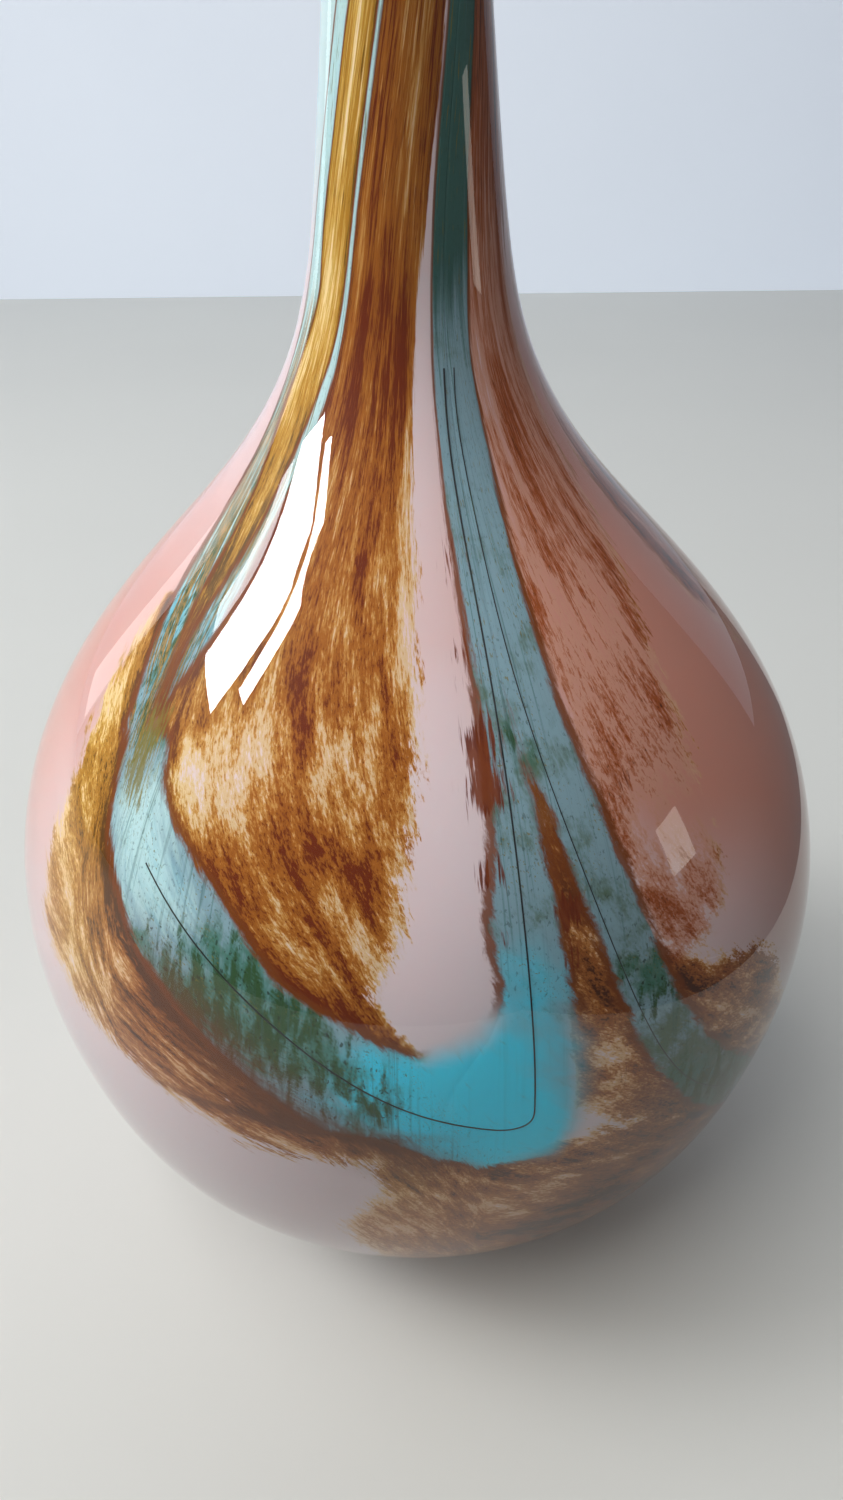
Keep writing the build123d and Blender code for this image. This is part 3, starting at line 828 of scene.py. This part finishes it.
def marks_over(n, flows, colour):
    """Rusty bark beside the ribbons, the brown smear under the sweeps and the olive knot."""
    bark = n.total(n.value("bark"), n.about(n.dribble(1.3, 0.14, 61.0), 2.2))
    bark = n.times(n.between(bark, 0.45, 0.75), n.between(n.value("bark"), 0.05, 0.3))
    bark_colour = n.mix(n.between(flows.upright, 0.4, 0.6), "bark", "dark amber")
    colour = n.mix(n.times(bark, 0.95), colour, bark_colour)
    smear = n.between(n.total(flows.streak, n.about(flows.upright, 0.8)), 0.30, 0.60, 0.55, 1.0)
    colour = n.mix(n.times(n.value("smear"), smear, 0.9), colour, "smear")
    knot = n.total(n.value("olive"), n.about(flows.streak, 14.0), n.about(flows.fine, 8.0))
    return n.mix(n.between(knot, -0.5, 1.5, 0.0, 0.85), colour, "olive")


def pattern_group():
    """The colour of the decorated opal at any point, and the relief of its grains."""
    tree = bpy.data.node_groups.new("decorated opal", "ShaderNodeTree")
    tree.interface.new_socket("Color", in_out="OUTPUT", socket_type="NodeSocketColor")
    tree.interface.new_socket("Grain", in_out="OUTPUT", socket_type="NodeSocketFloat")
    n = Nodes(tree)
    flows = Flows(n)
    colour = crushed_glass(n, flows, opal_ground(n, flows))
    colour = marks_over(n, flows, ribbons_over(n, flows, colour))
    out = n.node("NodeGroupOutput")
    n.put(out.inputs["Color"], colour)
    n.put(out.inputs["Grain"], flows.fine)
    return tree


def decorated(name, group, roughness, glow):
    """An opal glass that shows the pattern: soft inside, with a faint relief of its grains."""
    material = bpy.data.materials.new(name)
    material.use_nodes = True
    n = Nodes(material.node_tree)
    shader = material.node_tree.nodes["Principled BSDF"]
    pattern = n.node("ShaderNodeGroup")
    pattern.node_tree = group
    n.put(shader.inputs["Base Color"], pattern.outputs["Color"])
    shader.inputs["Roughness"].default_value = roughness
    shader.inputs["Specular IOR Level"].default_value = 0.08
    shader.inputs["Subsurface Weight"].default_value = glow
    shader.inputs["Subsurface Radius"].default_value = (1.0, 0.6, 0.5)
    shader.inputs["Subsurface Scale"].default_value = 1.6 * MM
    bump = n.node("ShaderNodeBump")
    bump.inputs["Strength"].default_value = 0.12
    bump.inputs["Distance"].default_value = 0.1 * MM
    n.put(bump.inputs["Height"], pattern.outputs["Grain"])
    n.put(shader.inputs["Normal"], bump.outputs["Normal"])
    return material


def thread_glass():
    """Nearly black drawn glass, slightly uneven along its length."""
    material = bpy.data.materials.new("dark thread")
    material.use_nodes = True
    n = Nodes(material.node_tree)
    shader = material.node_tree.nodes["Principled BSDF"]
    body = n.node("ShaderNodeTexCoord").outputs["Object"]
    moss = n.between(n.noise(body, 160.0), 0.5, 0.8, 0.0, 0.5)
    n.put(shader.inputs["Base Color"], n.mix(moss, "thread", "moss"))
    shader.inputs["Roughness"].default_value = 0.35
    return material


def clear_glass():
    """Clear casing glass. Shadow rays pass through it, so that the opal under it is lit evenly."""
    material = bpy.data.materials.new("clear casing glass")
    material.use_nodes = True
    tree = material.node_tree
    n = Nodes(tree)
    shader = tree.nodes["Principled BSDF"]
    shader.inputs["Base Color"].default_value = (1.0, 1.0, 1.0, 1.0)
    shader.inputs["Transmission Weight"].default_value = 1.0
    shader.inputs["IOR"].default_value = 1.5
    shader.inputs["Roughness"].default_value = 0.0
    body = n.node("ShaderNodeTexCoord").outputs["Object"]
    bump = n.node("ShaderNodeBump")
    bump.inputs["Strength"].default_value = 0.25
    bump.inputs["Distance"].default_value = 0.12 * MM
    n.put(bump.inputs["Height"], n.noise(body, 70.0, 1.0))
    n.put(shader.inputs["Normal"], bump.outputs["Normal"])
    clear = n.node("ShaderNodeBsdfTransparent")
    choose = n.node("ShaderNodeMixShader")
    n.put(choose.inputs[0], n.node("ShaderNodeLightPath").outputs["Is Shadow Ray"])
    n.put(choose.inputs[1], shader.outputs[0])
    n.put(choose.inputs[2], clear.outputs[0])
    n.put(tree.nodes["Material Output"].inputs["Surface"], choose.outputs[0])
    return material


# ---------------------------------------------------------------------------------------------
# the vase
# ---------------------------------------------------------------------------------------------

def casing_section():
    """The casing's section: the base, the outside, the lip, and an inner face hidden in the opal."""
    pontil = [(0.0, 1.2), (4.0, 1.15), (6.5, 1.1), (9.5, 0.7), (13.0, 0.0)]
    foot = [(13.6, 0.0), (24.0, 0.0), (34.2, 0.0)]
    base = [(radius * MM, height * MM) for radius, height in pontil + foot]
    levels = TOP * (1 - np.cos(np.linspace(0.06, pi, WALL_RINGS))) / 2
    levels = levels[levels < TOP - LIP_START]
    outside = [(float(outer_radius(z)), float(z)) for z in levels[1:]]
    lip_out, lip_in = float(outer_radius(TOP - LIP_START)), float(cavity_radius(TOP - 2.0 * MM))
    middle, half = (lip_out + lip_in) / 2, (lip_out - lip_in) / 2
    turns = np.linspace(0.0, pi, 16)
    lip = [(middle + half * cos(t), TOP - LIP_DROP + LIP_DROP * sin(t)) for t in turns]
    bore = [(lip_in, TOP - 3.2 * MM), (lip_in + 0.3 * MM, TOP - 4.2 * MM)]
    sunk = np.linspace(TOP - 6 * MM, 6 * MM, HIDDEN_RINGS)
    hidden = [(float(seam_radius(z)) - CASING_SINK, float(z)) for z in sunk]
    floor = [(20 * MM, 4.9 * MM), (0.0, 4.9 * MM)]
    return base + outside + lip + bore + hidden + floor


def core_section():
    """The opal's section: under the floor, the decorated wall, its end in the lip, and the bore."""
    low = np.linspace(4.4 * MM, 30 * MM, 40)
    high = np.linspace(30 * MM, TOP - 3.0 * MM, WALL_RINGS)
    levels = np.concatenate([low, high[1:]])
    under = [(0.0, 4.35 * MM), (18 * MM, 4.36 * MM)]
    outside = [(float(seam_radius(z)) - OPAL_SINK, float(z)) for z in levels]
    end = [((outside[-1][0] + float(cavity_radius(TOP - 3 * MM))) / 2, TOP - 2.4 * MM)]
    inner = np.linspace(TOP - 3.0 * MM, 8.4 * MM, HIDDEN_RINGS)
    bore = [(float(cavity_radius(z)), float(z)) for z in inner]
    floor = [(18 * MM, 8.25 * MM), (0.0, 8.25 * MM)]
    return under + outside + end + bore + floor


pattern = pattern_group()
opal = decorated("opal glass", pattern, 0.45, 0.35)
turquoise = decorated("turquoise glass", pattern, 0.40, 0.25)
olive = decorated("olive glass", pattern, 0.40, 0.10)
amber = decorated("amber frit", pattern, 0.42, 0.20)
gold = decorated("gold frit", pattern, 0.42, 0.20)
mauve = decorated("mauve frit", pattern, 0.42, 0.25)
brown = decorated("brown frit", pattern, 0.42, 0.15)

# the glass of each kind of node, by the longest start that its name has
KIND_GLASS = {
    "ribbon_": (turquoise, "turquoise_glass"),
    "knot_": (olive, "olive_glass"),
    "frit_front_panel": (amber, "amber_frit"),
    "frit_back_panel": (amber, "amber_frit"),
    "frit_golden": (gold, "gold_frit"),
    "frit_back_gold": (gold, "gold_frit"),
    "frit_right": (mauve, "mauve_frit"),
    "frit_": (brown, "brown_frit"),
}

core, core_angles, core_heights = lathe("opal_bubble", core_section(), opal, ["opal_core"])
paint(core, core_angles, core_heights)
lathe("casing", casing_section(), clear_glass(), ["clear_casing"])
for node in DECOR:
    start = max((key for key in KIND_GLASS if node.startswith(key)), key=len)
    shell(node + "_glass", node, *KIND_GLASS[start])


def thread_course(*nodes):
    """Points (angle, height) along the middle of thread nodes, joined end to end."""
    course = []
    for node, reverse, count in nodes:
        heights, left, right = OUTLINES[node]
        level = np.linspace(heights[0] + 0.6 * MM, heights[-1] - 0.5 * MM, count)
        middle = np.interp(level, heights, (left + right) / 2)
        points = list(zip(middle, level))
        course += points[::-1] if reverse else points
    return course


dark = thread_glass()
for side in ("front", "back"):
    sweep, leg = f"thread_{side}_sweep", f"thread_{side}_leg"
    course = thread_course((sweep, True, 26), (leg, False, 22))
    thread_piece(f"{side}_loop_thread", course, THREAD_RADIUS, dark, [sweep, leg])
course = thread_course(("thread_right", False, 30))
thread_piece("right_loop_thread", course, FINE_THREAD_RADIUS, dark, ["thread_right"])


# ---------------------------------------------------------------------------------------------
# stage, light and camera
# ---------------------------------------------------------------------------------------------

BACKDROP_GLOW = (214, 232, 255)


def stage_material(name, colour, roughness, glow=0.0):
    """Plain paint with a little unevenness."""
    material = bpy.data.materials.new(name)
    material.use_nodes = True
    n = Nodes(material.node_tree)
    shader = material.node_tree.nodes["Principled BSDF"]
    body = n.node("ShaderNodeTexCoord").outputs["Object"]
    light = linear(colour)
    shade = linear([c * 0.97 for c in colour])
    n.put(shader.inputs["Base Color"], n.mix(n.noise(body, 3.0, 2.0), light, shade))
    shader.inputs["Roughness"].default_value = roughness
    shader.inputs["Emission Color"].default_value = linear(BACKDROP_GLOW)
    shader.inputs["Emission Strength"].default_value = glow
    return material


def panel_stage(name, corners, material):
    """A flat stage panel from its corner points."""
    mesh = bpy.data.meshes.new(name)
    mesh.from_pydata(corners, [], [tuple(range(len(corners)))])
    mesh.materials.append(material)
    panel = bpy.data.objects.new(name, mesh)
    bpy.context.scene.collection.objects.link(panel)
    return panel


def aim(thing, place, target):
    """Put a light at a place, facing a target."""
    thing.location = place
    thing.rotation_euler = (Vector(target) - Vector(place)).to_track_quat("-Z", "Y").to_euler()


def softbox(name, azimuth, elevation, distance, width, height, power, colour=(1.0, 1.0, 1.0)):
    """A rectangular light in a direction from the vase's middle: azimuth from +Y towards +X."""
    light = bpy.data.lights.new(name, "AREA")
    light.shape = "RECTANGLE"
    light.size, light.size_y = width, height
    light.energy = power
    light.color = colour
    lamp = bpy.data.objects.new(name, light)
    bpy.context.scene.collection.objects.link(lamp)
    a, e = radians(azimuth), radians(elevation)
    middle = Vector((0, 0, 0.12))
    place = middle + distance * Vector((sin(a) * cos(e), cos(a) * cos(e), sin(e)))
    aim(lamp, place, middle)
    return lamp


table_top = [
    (-2.2, -0.46, 0.0), (0.2, -0.46, 0.0), (0.23, 0.25, 0.0), (0.9, 1.35, 0.0), (-2.2, 1.35, 0.0),
]
panel_stage("floor", table_top, stage_material("pale floor", (236, 236, 229), 0.5))
wall = [(-2.2, 1.3, 0.0), (2.2, 1.3, 0.0), (2.2, 1.3, 2.0), (-2.2, 1.3, 2.0)]
panel_stage("backdrop", wall, stage_material("pale backdrop", (240, 243, 248), 0.8, 0.28))

# each pane of the window is two lights in one place: one that the glass mirrors, and one that lights it
WINDOW_TINT = (0.94, 0.96, 1.0)
WINDOW_DISTANCE = 1.3
for name, azimuth, elevation, width, height, glint, daylight in (
    ("window", -93, 42, 0.28, 0.40, 12.0, 2.6),
    ("window_pane", -80.5, 42, 0.10, 0.36, 1.1, 0.9),
    ("window_side", -106.5, 46, 0.08, 0.30, 2.6, 0.6),
):
    place = (azimuth, elevation, WINDOW_DISTANCE, width, height)
    softbox(name, *place, glint, WINDOW_TINT).visible_diffuse = False
    softbox(name + "_daylight", *place, daylight, WINDOW_TINT).visible_glossy = False
softbox("back_window", -55, 12, 1.6, 0.26, 0.7, 0.7)
softbox("ceiling", -118, 60, 1.6, 1.2, 1.2, 15.5).visible_glossy = False
softbox("side_lamp", 106, 8, 1.4, 0.22, 0.26, 0.45, (1.0, 0.95, 0.85))

world = bpy.data.worlds.new("room")
bpy.context.scene.world = world
world.use_nodes = True
world.node_tree.nodes["Background"].inputs["Color"].default_value = (0.30, 0.30, 0.31, 1.0)
world.node_tree.nodes["Background"].inputs["Strength"].default_value = 0.55

CAMERA_PLACE = Vector((0.0, -0.20015, 0.2101))
CAMERA_AXES = ((0.9999, -0.0102, -0.0092), (0.0131, 0.4999, 0.8660), (0.0042, 0.8660, -0.5000))
camera_data = bpy.data.cameras.new("camera")
camera_data.sensor_width = 36.0
camera_data.lens = 27.02
camera_data.clip_start = 0.01
camera = bpy.data.objects.new("camera", camera_data)
bpy.context.scene.collection.objects.link(camera)
right, up, forward = (Vector(axis) for axis in CAMERA_AXES)
camera.matrix_world = Matrix.Translation(CAMERA_PLACE) @ Matrix((right, up, -forward)).transposed().to_4x4()
bpy.context.scene.camera = camera
bpy.context.scene.view_settings.view_transform = "Standard"
